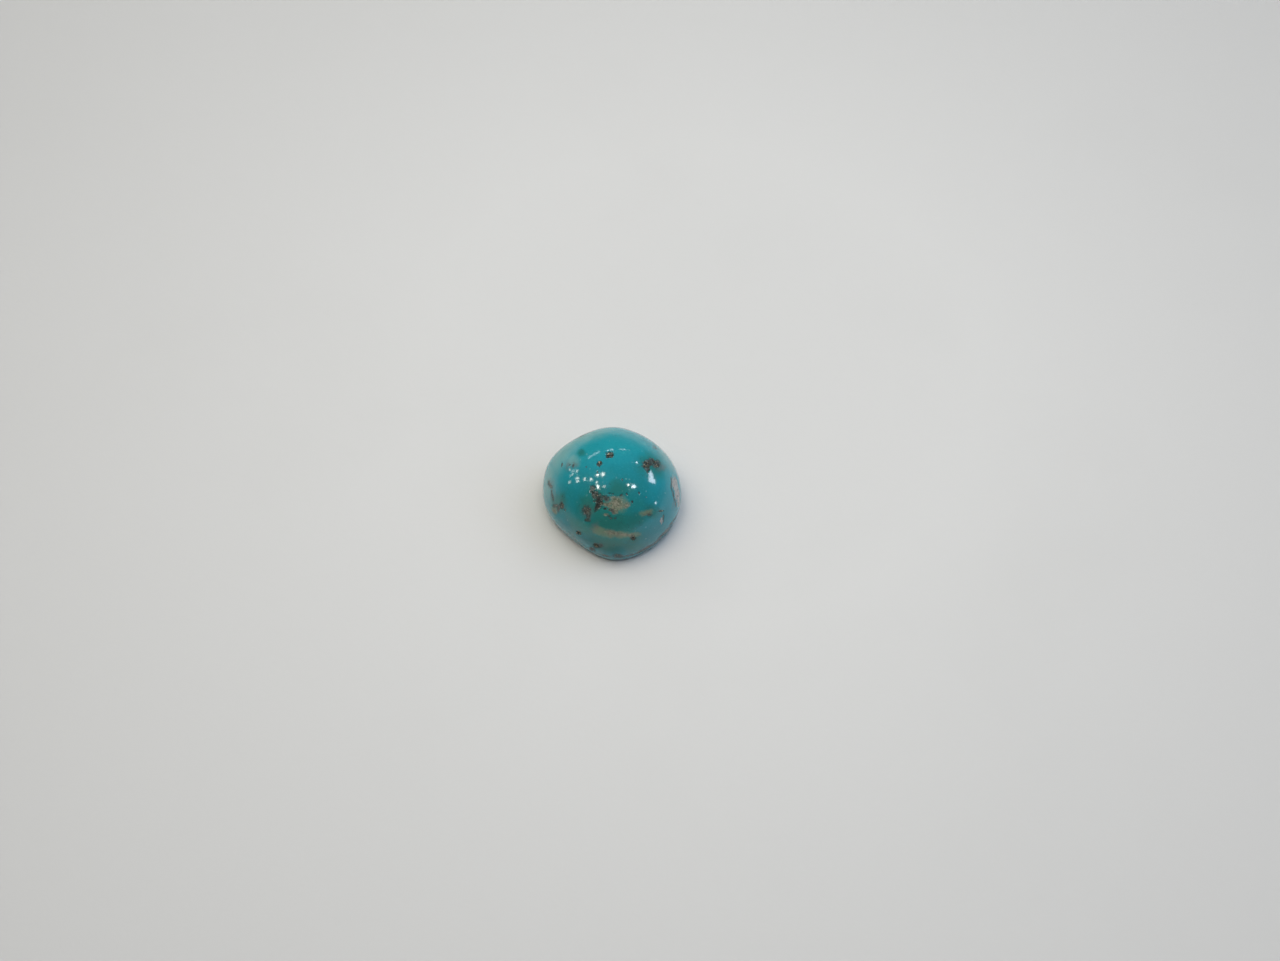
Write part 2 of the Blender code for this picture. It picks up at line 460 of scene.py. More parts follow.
def fractal(points, size, octaves=4, shift=0.0):
    """Fractal noise, about -1 to 1, whose lumps are about this size. A shift gives other lumps."""
    offset = Vector((shift, shift, shift))
    return np.array([
        noise.fractal(Vector(point) / size + offset, OCTAVE_FADE, OCTAVE_STEP, octaves)
        for point in points
    ])


def crumple(points):
    """Points shifted about by noise, so that what is drawn on them gets ragged edges."""
    shifted = points.copy()
    for fold, reach in CRUMPLES:
        shifted += reach * np.array([noise.noise_vector(Vector(point) / fold) for point in points])
    return shifted


def smoothstep(low, high, value):
    """0 below low, 1 above high, and a smooth change between them."""
    share = np.clip((value - low) / (high - low), 0.0, 1.0)
    return share * share * (3.0 - 2.0 * share)


noise.seed_set(CRUMPLE_SEED)
sphere_points = np.array([corner.co for corner in stone_shape.verts])
surface = ground_surface(sphere_points)
normals = outward(sphere_points)
crumpled = crumple(surface)
print(f"crumpling shifts a point by up to {np.abs(crumpled - surface).max() / MM:.2f} mm")

# %% Patch fields
PATCH_LISTS = {
    "tan": TAN_PATCHES,
    "clay_veil": CLAY_VEILS,
    "grey_veil": GREY_VEILS,
    "pale": PALE_PATCHES,
    "brown": BROWN_PATCHES,
    "dark": DARK_SPECKS,
    "halo": HALOS,
    # painted reflection on the rim flanks
    "painted_reflection": PAINTED_REFLECTION_FLANKS,
    "dull": DULL_FLANKS,
}


def patch_strength(points, patch):
    """1 in the middle of a patch, 0 on its edge and -1 well outside."""
    bearing, rise, half_length, half_breadth, lean = patch
    middle, along, across, out = tangent_frame(bearing, rise, lean)
    offset = points - middle
    gap = np.sqrt(
        (offset @ along / (half_length * MM)) ** 2
        + (offset @ across / (half_breadth * MM)) ** 2
        + (offset @ out / (half_length * MM)) ** 2
    )
    return np.clip(1.0 - gap, -1.0, 1.0)


def field(points, patches):
    """The strongest of several patches at each point."""
    return np.max([patch_strength(points, patch) for patch in patches], axis=0)


fields = {name: field(crumpled, patches) for name, patches in PATCH_LISTS.items()}
fields["zone"] = sphere_points @ direction(DEEP_BEARING, DEEP_RISE)
print(f"brown matrix covers {np.mean(fields['brown'] > 0.0):.0%} of the points")

# %% [markdown]
# ## Relief: hollows and chips
# Where a grain of pyrite fell out there is a hollow, and where the edge took a knock a
# shell-shaped chip came off. Boolean cuts would do for a few clean holes. Here each point
# is pushed in along the hollow's own axis until it meets a ball. The distance from the
# axis wavers, which makes the rim ragged, and so does the ball's radius, which makes the
# floor lumpy. A chip is a shallow hollow with low ripples running across it.

# %% Hollows and chips
RIM_LUMP = 0.30 * MM
RIM_WAVER = 0.34
FLOOR_LUMP = 0.11 * MM
FLOOR_WAVER = 0.30
CHIP_LUMP = 0.62 * MM
CHIP_RIM_WAVER = 0.60
CHIP_FLOOR_WAVER = 0.16

# Shares of a hollow's mouth or depth.
SEARCH_REACH = 2.0
RIM_START = 1.0
RIM_END = 0.86
DEEPEST = 1.3


def carve(points, hollow, lump, rim_waver, floor_waver):
    """Push points into a hollow. Returns the new points and how deep each went."""
    bearing, rise, mouth, depth = hollow
    middle, _, _, axis = tangent_frame(bearing, rise)
    mouth *= MM
    depth *= MM
    radius = (mouth ** 2 + depth ** 2) / (2.0 * depth)
    near = np.linalg.norm(points - middle, axis=1) < SEARCH_REACH * mouth
    offset = points[near] - middle
    height = offset @ axis
    sideways = np.linalg.norm(offset - height[:, None] * axis, axis=1)
    sideways *= 1.0 + rim_waver * fractal(points[near], lump, shift=rise)
    floor = radius - depth - np.sqrt(np.clip(radius ** 2 - sideways ** 2, 0.0, None))
    floor += floor_waver * depth * fractal(points[near], FLOOR_LUMP, shift=bearing)
    inside = smoothstep(RIM_START, RIM_END, sideways / mouth)
    sunk = np.zeros(len(points))
    sunk[near] = inside * np.clip(height - floor, 0.0, DEEPEST * depth)
    return points - sunk[:, None] * axis, sunk


def carve_all(points, hollows, lump, rim_waver, floor_waver):
    """Carve several hollows. Returns the new points and the greatest depth at each."""
    deepest = np.zeros(len(points))
    for hollow in hollows:
        points, sunk = carve(points, hollow, lump, rim_waver, floor_waver)
        deepest = np.maximum(deepest, sunk)
    return points, deepest


carved, pit_depth = carve_all(surface, PITS, RIM_LUMP, RIM_WAVER, FLOOR_WAVER)
carved, chip_depth = carve_all(carved, EDGE_CHIPS, CHIP_LUMP, CHIP_RIM_WAVER, CHIP_FLOOR_WAVER)
print(f"deepest pit {pit_depth.max() / MM:.2f} mm, deepest chip {chip_depth.max() / MM:.2f} mm")

# %% [markdown]
# ## Relief: sawn base, undercut matrix and a hand polish
# The flat base is sawn and only roughly ground, and the wheel never quite reached the
# lowest edge, so a thin rough rind is left there. A second material on its own faces
# would end in a hard zigzag, so the rind is another field, and the shader blends rough
# stone into polished stone along it.
# Matrix is softer than turquoise, so the wheel leaves it a hair lower and grainy. Even
# the best hand polish is a little wavy, which is what makes its reflections swim.

# %% Rind and polished shares
RIND_HEIGHT = 0.11 * MM
RIND_WAVER = 0.6
RIND_WAVE_SIZE = 0.6 * MM
RIND_EDGE = 0.08 * MM
CHIP_FULL_DEPTH = 0.03 * MM

# Edges of the layers in their fields: (nothing below, all above).
ROUGH_EDGE = (-0.5, 0.5)
MATRIX_EDGE = (-0.10, 0.30)
CLAY_EDGE = (-0.10, 0.40)
FLOOR_EDGE = (0.01 * MM, 0.05 * MM)

rind_top = RIND_HEIGHT * (1.0 + RIND_WAVER * fractal(surface, RIND_WAVE_SIZE, shift=3.0))
fields["rind"] = np.clip((rind_top - surface[:, 2]) / RIND_EDGE, -1.0, 1.0)
fields["chip"] = np.clip(chip_depth / CHIP_FULL_DEPTH, 0.0, 1.0)
fields["pit"] = smoothstep(*FLOOR_EDGE, pit_depth)

rough_share = smoothstep(*ROUGH_EDGE, fields["rind"])
polished_share = (1.0 - rough_share) * (1.0 - fields["chip"])
brown_share = smoothstep(*MATRIX_EDGE, fields["brown"]) * polished_share
speck_share = smoothstep(*MATRIX_EDGE, fields["dark"]) * polished_share
clay_share = smoothstep(*CLAY_EDGE, np.maximum(fields["tan"], fields["pale"])) * polished_share
print(f"{np.mean(polished_share > 0.5):.0%} of the points are polished")

# %% Undercut matrix and wavy polish
MATRIX_SINK = 0.022 * MM
SPECK_SINK = 0.020 * MM
CLAY_SINK = 0.007 * MM
RIND_GRAIN = 0.030 * MM
RIND_LUMP = 0.35 * MM
GRAIN_SIZE = 0.13 * MM
GRAIN_SHARE = 0.9
POLISH_WAVE = 0.0018 * MM
POLISH_WAVE_SIZE = 1.9 * MM
POLISH_START = 0.6 * MM

grain = GRAIN_SHARE * fractal(surface, GRAIN_SIZE, shift=11.0)
rind_lumps = 0.5 + 0.5 * fractal(surface, RIND_LUMP, octaves=6, shift=17.0)
sink = (
    brown_share * MATRIX_SINK * (1.0 + grain)
    + speck_share * SPECK_SINK
    + clay_share * CLAY_SINK * (1.0 + grain)
    + rough_share * RIND_GRAIN * np.clip(rind_lumps, 0.0, 1.0)
)
wave_share = polished_share * smoothstep(0.0, POLISH_START, surface[:, 2])
wave = POLISH_WAVE * wave_share * fractal(surface, POLISH_WAVE_SIZE, octaves=2, shift=5.0)
finished = carved + (wave - sink)[:, None] * normals
finished[:, 2] = np.clip(finished[:, 2], 0.0, None)

centre = (surface[:, :2].min(axis=0) + surface[:, :2].max(axis=0)) / 2.0
finished[:, :2] -= centre
print(f"matrix is sunk by up to {sink.max() / MM:.3f} mm")

# %% [markdown]
# ## The stone as one mesh
# The finished points go back onto the sphere's triangles, with every field stored as a
# point attribute of the same name for the shader to read. Attributes are chosen over
# painted textures because they need no unwrapping and move with the mesh.

# %% Build the stone
def put_in_scene(name, data):
    """A new object that holds this mesh, camera or lamp."""
    thing = bpy.data.objects.new(name, data)
    bpy.context.scene.collection.objects.link(thing)
    return thing


def mesh_object(name, shape):
    """Turn an edited shape into an object with a mesh of its own."""
    mesh = bpy.data.meshes.new(name)
    shape.to_mesh(mesh)
    shape.free()
    return put_in_scene(name, mesh)


def store_field(mesh, name, values):
    """Store one number per point under a name that a shader can read."""
    attribute = mesh.attributes.new(name, "FLOAT", "POINT")
    attribute.data.foreach_set("value", values.astype(np.float32))


for corner, point in zip(stone_shape.verts, finished):
    corner.co = point
stone = mesh_object("polished_turquoise", stone_shape)
stone.data.polygons.foreach_set("use_smooth", [True] * len(stone.data.polygons))
for name, values in fields.items():
    store_field(stone.data, name, values)

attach(stone, "root")
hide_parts(CAD_NODE)
print(len(stone.data.polygons), "triangles in the stone")

# %% [markdown]
# ## Small helpers for shader recipes
# Each finish below is a recipe of shader nodes. A few helpers keep a recipe as short as
# the sentence that describes it. The first ones add a node, do sums, and make noise whose
# lumps have a size in millimetres, so that a recipe can be checked against the real stone.

# %% Helpers: nodes, sums and noise
def fill(tree, node, inputs):
    """Set inputs of a node, each to a number, a colour or another node's output."""
    for name, value in inputs.items():
        if isinstance(value, bpy.types.NodeSocket):
            tree.links.new(value, node.inputs[name])
        else:
            node.inputs[name].default_value = value


def add_node(tree, kind, inputs=None, **settings):
    """Add a shader node with these settings and inputs."""
    node = tree.nodes.new(kind)
    for name, value in settings.items():
        setattr(node, name, value)
    fill(tree, node, inputs or {})
    return node


def compute(tree, operation, *numbers, clamp=False):
    """One sum on two or more numbers, from left to right."""
    result = numbers[0]
    for number in numbers[1:]:
        inputs = {0: result, 1: number}
        node = add_node(tree, "ShaderNodeMath", inputs, operation=operation, use_clamp=clamp)
        result = node.outputs["Value"]
    return result


def scaled(tree, value, amount):
    """A number times an amount."""
    return compute(tree, "MULTIPLY", value, amount)


def add_scaled(tree, start, values, amounts):
    """A number plus some named values, each times its own amount."""
    parts = [scaled(tree, values[name], amount) for name, amount in amounts]
    return compute(tree, "ADD", start, *parts)


def stored(tree, name):
    """A field that was stored on the points."""
    return add_node(tree, "ShaderNodeAttribute", attribute_name=name).outputs["Fac"]


def millimetre_place(tree, stretch=(1.0, 1.0, 1.0), turn=(0.0, 0.0, 0.0)):
    """The point being shaded, in millimetres on the object."""
    where = add_node(tree, "ShaderNodeTexCoord").outputs["Object"]
    scale = [axis / MM for axis in stretch]
    mapping = add_node(tree, "ShaderNodeMapping", {"Vector": where, "Scale": scale, "Rotation": turn})
    return mapping.outputs["Vector"]


def noise_lumps(tree, place, size, detail=4.0, roughness=0.55, distortion=0.0):
    """Noise from 0 to 1 with lumps about this many millimetres across."""
    return add_node(tree, "ShaderNodeTexNoise", {
        "Vector": place,
        "Scale": 1.0 / size,
        "Detail": detail,
        "Roughness": roughness,
        "Distortion": distortion,
    }).outputs["Fac"]


print("fields a recipe can read:", ", ".join(fields))

# %% [markdown]
# ## Helpers that make edges and mixes
# A noise or a field is only a number. A map range node with a smooth step turns it into
# an edge, and a mix node lays one colour over another along that edge. A colour ramp
# gives each value of the number a colour of its own. For small relief the number is
# handed to a bump node instead, with its depth as a real length.

# %% Helpers: edges, mixes and bump
def edge(tree, value, low, high):
    """0 below low and 1 above high, with a smooth edge between."""
    return add_node(tree, "ShaderNodeMapRange", {
        "Value": value,
        "From Min": low,
        "From Max": high,
    }, interpolation_type="SMOOTHSTEP").outputs["Result"]


def blend(tree, share, first, second):
    """A number between two numbers."""
    return add_node(tree, "ShaderNodeMapRange", {
        "Value": share,
        "To Min": first,
        "To Max": second,
    }).outputs["Result"]


def mix_colours(tree, share, first, second):
    """From the first colour to the second, by a share."""
    node = add_node(tree, "ShaderNodeMix", data_type="RGBA")
    in_use = [number for number, socket in enumerate(node.inputs) if socket.enabled]
    fill(tree, node, dict(zip(in_use, (share, first, second))))
    return next(socket for socket in node.outputs if socket.enabled)


def lay_over(tree, below, above, share, cover):
    """Lay a colour over another. It hides this much of it where its share is full."""
    return mix_colours(tree, scaled(tree, share, cover), below, above)


def colour_ramp(tree, value, stops):
    """Colours along a number: (place, colour) pairs."""
    node = add_node(tree, "ShaderNodeValToRGB", {"Fac": value})
    steps = node.color_ramp.elements
    while len(steps) < len(stops):
        steps.new(1.0)
    for step, (place, colour) in zip(steps, stops):
        step.position = place
        step.color = colour
    return node.outputs["Color"]


def bump(tree, height, strength, depth):
    """Small relief. A height of 1 stands for this depth."""
    node = add_node(tree, "ShaderNodeBump", {"Height": height, "Strength": strength, "Distance": depth})
    return node.outputs["Normal"]


def new_material(name):
    """A material with a Principled shader. Returns the material, its tree and shader."""
    material = bpy.data.materials.new(name)
    material.use_nodes = True
    tree = material.node_tree
    return material, tree, tree.nodes["Principled BSDF"]


print("made helpers for edges, blends, mixes, ramps and bump")

# %% [markdown]
# ## Helpers that break stone into crumbs
# Rock isn't a cloud: it is made of pieces. A Voronoi texture cuts space into cells and
# gives each a random colour, one channel of which serves as a random number. Its plain
# cells look like soap bubbles, so the place is first bent about by noise.

# %% Helpers: cells and crumbs
BEND_DETAIL = 3.0
CRUMB_BEND = 0.9


def bent_place(tree, place, size, amount):
    """A place shifted about by noise of this size, by up to this share of the size."""
    bend = add_node(tree, "ShaderNodeTexNoise", {
        "Vector": place,
        "Scale": 1.0 / size,
        "Detail": BEND_DETAIL,
    })
    shift = add_node(tree, "ShaderNodeVectorMath", {
        0: bend.outputs["Color"],
        "Scale": amount * size,
    }, operation="SCALE").outputs["Vector"]
    bent = add_node(tree, "ShaderNodeVectorMath", {0: place, 1: shift}, operation="ADD")
    return bent.outputs["Vector"]


def cells(tree, place, size, **settings):
    """Cells about this many millimetres wide: a random number each, and how far out from
    the middle of its cell a point lies, in cell widths."""
    node = add_node(tree, "ShaderNodeTexVoronoi", {"Vector": place, "Scale": 1.0 / size}, **settings)
    parts = add_node(tree, "ShaderNodeSeparateColor", {"Color": node.outputs["Color"]})
    return parts.outputs["Red"], node.outputs["Distance"]


def crumbs(tree, place, size):
    """Cells with bent outlines, like crumbs of rock."""
    return cells(tree, bent_place(tree, place, size, CRUMB_BEND), size)


print(f"crumbs are bent by up to {CRUMB_BEND:.0%} of their size")

# %% [markdown]
# ## The colour of turquoise
# Good turquoise isn't one blue. It drifts over the stone between sky blue and sea green,
# it has pale clouds under a millimetre wide with a finer mottling inside them, and here
# and there a fleck of white chalk. Beside the matrix, where iron got into it, it turns
# greener and darker. On some flanks a pale teal is painted over it, standing in for the
# reflection of the pale floor and walls at the rim. Noise at three sizes makes the first
# three, and the stored fields put the iron and the painted reflection where the map wants them.

# %% Turquoise colour
SKY_BLUE = (0.010, 0.272, 0.318, 1.0)
TURQUOISE = (0.009, 0.245, 0.300, 1.0)
DEEP_TEAL = (0.006, 0.182, 0.212, 1.0)
SEA_GREEN = (0.010, 0.163, 0.148, 1.0)
IRON_GREEN = (0.013, 0.132, 0.112, 1.0)
PALE_CLOUD = (0.040, 0.350, 0.385, 1.0)
CHALK = (0.200, 0.450, 0.455, 1.0)
# Painted reflection: the pale floor and walls mirrored at the rim, laid on as colour.
PAINTED_REFLECTION_TEAL = (0.135, 0.330, 0.333, 1.0)

# The body colour goes along this ramp from one side of the dome to the other.
BODY_RAMP = (
    (0.15, SKY_BLUE),
    (0.48, TURQUOISE),
    (0.76, DEEP_TEAL),
    (1.00, SEA_GREEN),
)
DRIFT_SIZE = 3.0
DRIFT_SHARE = 0.7
RAMP_SHIFT = -0.35
DULL_SHIFT = -0.26

CLOUD_SIZE = 0.75
MOTTLE_SIZE = 0.17

# Light and dark parts of the noise: (noise, nothing at, all at, cover, colour).
BODY_LAYERS = (
    ("clouds", 0.55, 0.80, 0.34, PALE_CLOUD),
    ("clouds", 0.48, 0.22, 0.34, DEEP_TEAL),
    ("mottle", 0.50, 0.72, 0.22, PALE_CLOUD),
    ("mottle", 0.50, 0.30, 0.26, DEEP_TEAL),
)

CHALK_SIZE = 0.30
CHALK_CHOSEN = (0.90, 0.94)
CHALK_EDGE = (0.40, 0.08)
CHALK_COVER = 0.42

# Painted reflection and iron halos, made uneven by the clouds: (field, share of clouds, nothing at, all
# at, cover, colour).
STAIN_AND_REFLECTION_LAYERS = (
    # painted reflection: pale teal on the rim flanks for the mirrored pale floor and walls
    ("painted_reflection", 0.3, 0.05, 0.95, 0.76, PAINTED_REFLECTION_TEAL),
    ("halo", 0.9, -0.20, 1.15, 0.74, IRON_GREEN),
)


def turquoise_colour(tree, place, dull):
    """The blue body of the stone with its iron halos and a painted reflection on the rim flanks, before
    any clay or matrix is laid over it.
    """
    drift = scaled(tree, noise_lumps(tree, place, DRIFT_SIZE, detail=3.0), DRIFT_SHARE)
    depth = compute(tree, "ADD", stored(tree, "zone"), drift, RAMP_SHIFT, scaled(tree, dull, DULL_SHIFT))
    body = colour_ramp(tree, depth, BODY_RAMP)

    noises = {
        "clouds": noise_lumps(tree, place, CLOUD_SIZE, detail=6.0, roughness=0.62, distortion=0.4),
        "mottle": noise_lumps(tree, place, MOTTLE_SIZE, detail=5.0, roughness=0.60),
    }
    for name, low, high, cover, colour in BODY_LAYERS:
        body = lay_over(tree, body, colour, edge(tree, noises[name], low, high), cover)

    number, from_middle = crumbs(tree, place, CHALK_SIZE)
    chosen = edge(tree, number, *CHALK_CHOSEN)
    chalk = compute(tree, "MULTIPLY", chosen, edge(tree, from_middle, *CHALK_EDGE))
    body = lay_over(tree, body, CHALK, chalk, CHALK_COVER)

    # Iron halos, and the painted reflection of the pale floor and walls on the rim flanks.
    for name, cloudy, low, high, cover, colour in STAIN_AND_REFLECTION_LAYERS:
        stain_and_reflection = compute(tree, "ADD", stored(tree, name), scaled(tree, noises["clouds"], cloudy))
        body = lay_over(tree, body, colour, edge(tree, stain_and_reflection, low, high), cover)
    return body


print(f"{1 + len(BODY_LAYERS) + len(STAIN_AND_REFLECTION_LAYERS)} layers over the body colour")

# %% [markdown]
# ## Clay, quartz and matrix
# The tan parts are clay with crumbs of quartz, olive where copper got in and rusty where
# iron did. Matrix is crushed host rock held together by iron minerals: nearly black,
# brown, plum and grey crumbs. Each gets a ramp of its own rock colours. One noise would
# look like cloud, so up to a third of the number that runs the ramp comes from crumbs,
# each with a random number of its own, as grains in a rock have.

# %% Rock colours
UMBER = (0.012, 0.014, 0.012, 1.0)
BROWN = (0.042, 0.048, 0.039, 1.0)
MAROON = (0.043, 0.037, 0.034, 1.0)
GREY_BROWN = (0.090, 0.112, 0.101, 1.0)
RUST = (0.210, 0.110, 0.050, 1.0)
DARK_OLIVE = (0.070, 0.078, 0.050, 1.0)
OLIVE = (0.140, 0.148, 0.106, 1.0)
OLIVE_TAN = (0.226, 0.213, 0.156, 1.0)
PALE_TAN = (0.352, 0.328, 0.258, 1.0)
OLIVE_VEIL = (0.166, 0.216, 0.126, 1.0)
RUSTY_VEIL = (0.194, 0.160, 0.086, 1.0)
PLUM_GREY = (0.125, 0.112, 0.116, 1.0)
QUARTZ = (0.440, 0.410, 0.385, 1.0)
QUARTZ_SHADE = (0.290, 0.262, 0.248, 1.0)
PYRITE_GOLD = (0.580, 0.520, 0.385, 1.0)

BROWN_RAMP = (
    (0.30, UMBER),
    (0.43, BROWN),
    (0.50, MAROON),
    (0.56, BROWN),
    (0.64, GREY_BROWN),
    (0.76, OLIVE),
)
CLAY_RAMP = (
    (0.24, DARK_OLIVE),
    (0.40, OLIVE),
    (0.56, OLIVE_TAN),
    (0.76, PALE_TAN),
)
QUARTZ_RAMP = (
    (0.28, PLUM_GREY),
    (0.42, QUARTZ_SHADE),
    (0.60, QUARTZ),
)
print(len(BROWN_RAMP), "steps from umber to olive in the matrix")

# %% Matrix, clay and quartz
MATRIX_CRUMB = 0.10
MATRIX_LUMP = 0.28
CLAY_CRUMB = 0.13
CLAY_LUMP = 0.36
QUARTZ_LUMP = 0.38

# Joints between crumbs are darker, this far from a crumb's middle.
JOINT_EDGE = (0.45, 0.85)
JOINT_DARKNESS = 0.5

STAIN_SIZE = 0.8
STAIN_EDGE = (0.54, 0.70)
STAIN_COVER = 0.40
VEIL_RUST_SIZE = 1.1
VEIL_RUST_EDGE = (0.44, 0.62)


def rock_number(tree, place, crumb_size, lump_size, crumb_share=0.34):
    """A number that changes from crumb to crumb and drifts across a few of them."""
    number, from_middle = crumbs(tree, place, crumb_size)
    drift = noise_lumps(tree, place, lump_size, detail=7.0, roughness=0.68)
    return compute(
        tree,
        "ADD",
        scaled(tree, number, crumb_share),
        scaled(tree, drift, 1.0 - crumb_share),
        scaled(tree, edge(tree, from_middle, *JOINT_EDGE), -JOINT_DARKNESS * crumb_share),
    )


def brown_colour(tree, place):
    """Crumbs of dark, brown and plum host rock."""
    return colour_ramp(tree, rock_number(tree, place, MATRIX_CRUMB, MATRIX_LUMP), BROWN_RAMP)


def tan_colour(tree, place):
    """Olive clay with pale crumbs and rusty stains."""
    clay = colour_ramp(tree, rock_number(tree, place, CLAY_CRUMB, CLAY_LUMP), CLAY_RAMP)
    stains = edge(tree, noise_lumps(tree, place, STAIN_SIZE, detail=5.0), *STAIN_EDGE)
    return lay_over(tree, clay, RUST, stains, STAIN_COVER)


def quartz_colour(tree, place):
    """Grey-white quartz with plum-grey shade between its grains."""
    number = rock_number(tree, place, CLAY_CRUMB, QUARTZ_LUMP, crumb_share=0.20)
    return colour_ramp(tree, number, QUARTZ_RAMP)


def veil_colour(tree, place):
    """Clay seen through a skin of turquoise, olive in one place and rusty in the next."""
    rusty = edge(tree, noise_lumps(tree, place, VEIL_RUST_SIZE, detail=3.0), *VEIL_RUST_EDGE)
    return mix_colours(tree, rusty, OLIVE_VEIL, RUSTY_VEIL)


print(f"matrix crumbs are {MATRIX_CRUMB} mm wide, clay crumbs {CLAY_CRUMB} mm")

# %% [markdown]
# ## Where each layer shows
# A layer shows where its field is high enough. Every edge is broken up by fine noise,
# because host rock ends in loose crumbs and never in a line. Three layers have no field
# of their own: the rim of iron along the edge of the matrix, hair-thin cracks, and
# squares of pyrite cut flat by the wheel. These are worked out from noise and cells.

# %% Shares of the layers
# Edges of the fields: (field, how far crumbs break it up, nothing at, all at).
FIELD_EDGES = (
    ("clay_veil", 0.9, -0.25, 0.55),
    ("grey_veil", 1.4, -0.30, 0.70),
    ("tan", 1.6, -0.40, 0.60),
    ("pale", 1.3, -0.15, 0.30),
    ("brown", 2.4, -0.05, 0.30),
    ("dark", 1.3, -0.05, 0.30),
    ("rind", 0.8, -0.20, 0.20),
)
CRUMBLE_SIZE = 0.13

IRON_RIM_OUTSIDE = (-0.20, 0.02)
IRON_RIM_INSIDE = (0.26, 0.06)
DULL_EDGE = (0.0, 0.6)

GREY_PATCH_SIZE = 0.42
GREY_PATCH_EDGE = (0.40, 0.62)
GREY_LEAST = 0.35

CRACK_SIZE = 0.85
CRACK_BEND = 0.8
CRACK_LINE = (0.022, 0.004)
CRACK_BREAK_SIZE = 0.6
CRACK_BREAKS = (0.50, 0.60)
CRACK_HALO = (-0.7, 0.3)
CRACKS_FAR = 0.10
CRACKS_NEAR = 0.60

PYRITE_SQUARE = 0.13
PYRITE_TURN = (0.5, 0.8, 0.3)
PYRITE_EDGE = (0.30, 0.27)
PYRITE_CHOSEN = (0.90, 0.91)


def crumbled(tree, place, name, amount):
    """A stored field whose edge is broken into crumbs by fine noise."""
    fine = noise_lumps(tree, place, CRUMBLE_SIZE, detail=6.0, roughness=0.68)
    shift = scaled(tree, compute(tree, "SUBTRACT", fine, 0.5), amount)
    return compute(tree, "ADD", stored(tree, name), shift)


def patchiness(tree, place):
    """How much of a grey veil is there, since it comes and goes."""
    patches = noise_lumps(tree, place, GREY_PATCH_SIZE, detail=4.0)
    return blend(tree, edge(tree, patches, *GREY_PATCH_EDGE), GREY_LEAST, 1.0)


def veinlets(tree, place):
    """Hair-thin cracks filled with iron, dense in the halos and rare elsewhere."""
    outlines = add_node(tree, "ShaderNodeTexVoronoi", {
        "Vector": bent_place(tree, place, CRACK_SIZE, CRACK_BEND),
        "Scale": 1.0 / CRACK_SIZE,
    }, feature="DISTANCE_TO_EDGE")
    line = edge(tree, outlines.outputs["Distance"], *CRACK_LINE)
    breaks = edge(tree, noise_lumps(tree, place, CRACK_BREAK_SIZE, detail=3.0), *CRACK_BREAKS)
    near = blend(tree, edge(tree, stored(tree, "halo"), *CRACK_HALO), CRACKS_FAR, CRACKS_NEAR)
    return compute(tree, "MULTIPLY", line, breaks, near)


def pyrite_squares(tree, matrix):
    """Square flecks of pyrite inside the matrix, cut flush by the polish."""
    place = millimetre_place(tree, turn=PYRITE_TURN)
    number, from_middle = cells(tree, place, PYRITE_SQUARE, distance="CHEBYCHEV")
    chosen = edge(tree, number, *PYRITE_CHOSEN)
    return compute(tree, "MULTIPLY", chosen, edge(tree, from_middle, *PYRITE_EDGE), matrix)


def stone_shares(tree, place):
    """How much of each layer shows at a point."""
    ragged = {name: crumbled(tree, place, name, amount) for name, amount, _, _ in FIELD_EDGES}
    shares = {name: edge(tree, ragged[name], low, high) for name, _, low, high in FIELD_EDGES}
    shares["grey_veil"] = compute(tree, "MULTIPLY", shares["grey_veil"], patchiness(tree, place))
    outside = edge(tree, ragged["brown"], *IRON_RIM_OUTSIDE)
    inside = edge(tree, ragged["brown"], *IRON_RIM_INSIDE)
    shares["iron_rim"] = compute(tree, "MULTIPLY", outside, inside)
    shares["pit"] = stored(tree, "pit")
    shares["chip"] = stored(tree, "chip")
    shares["dull"] = edge(tree, stored(tree, "dull"), *DULL_EDGE)
    shares["cracks"] = veinlets(tree, place)
    shares["matrix"] = compute(tree, "MAXIMUM", shares["brown"], shares["dark"], shares["pit"])
    shares["pyrite"] = pyrite_squares(tree, shares["matrix"])
    return shares


print(len(FIELD_EDGES), "fields with crumbled edges")

# %% [markdown]
# ## The layers of colour
# The layers are stacked the way they sit in the stone: blue body, veiled clay and grey
# rock under a skin of turquoise, bare clay and quartz, brown matrix, black specks, pyrite,
# the fresh stone of the chips, and the rough rind over everything at the very bottom. One
# list holds the order, so a layer can be moved or thinned by changing one row.

# %% Stack the layers
# From the lowest layer up: (layer, how much of what lies under it is hidden).
LAYER_COVERS = (
    ("clay_veil", 0.68),
    ("grey_veil", 0.50),
    ("cracks", 1.00),
    ("tan", 0.85),
    ("pale", 0.86),
    ("iron_rim", 0.45),
    ("brown", 0.84),
    ("dark", 0.90),
    ("pit", 0.50),
    ("pyrite", 1.00),
    ("chip", 0.75),
    ("rind", 1.00),
)
FRESH_LUMP = 0.3
HOST_LUMP = 2.6
HOST_EDGE = (0.47, 0.54)
RIND_DIRT = 0.35


def rind_colour(tree, place, fresh, rock):
    """Rough turquoise, dirty and unpolished, with host rock in places."""
    host = edge(tree, noise_lumps(tree, place, HOST_LUMP, detail=8.0, roughness=0.62), *HOST_EDGE)
    return mix_colours(tree, host, mix_colours(tree, RIND_DIRT, fresh, GREY_BROWN), rock)


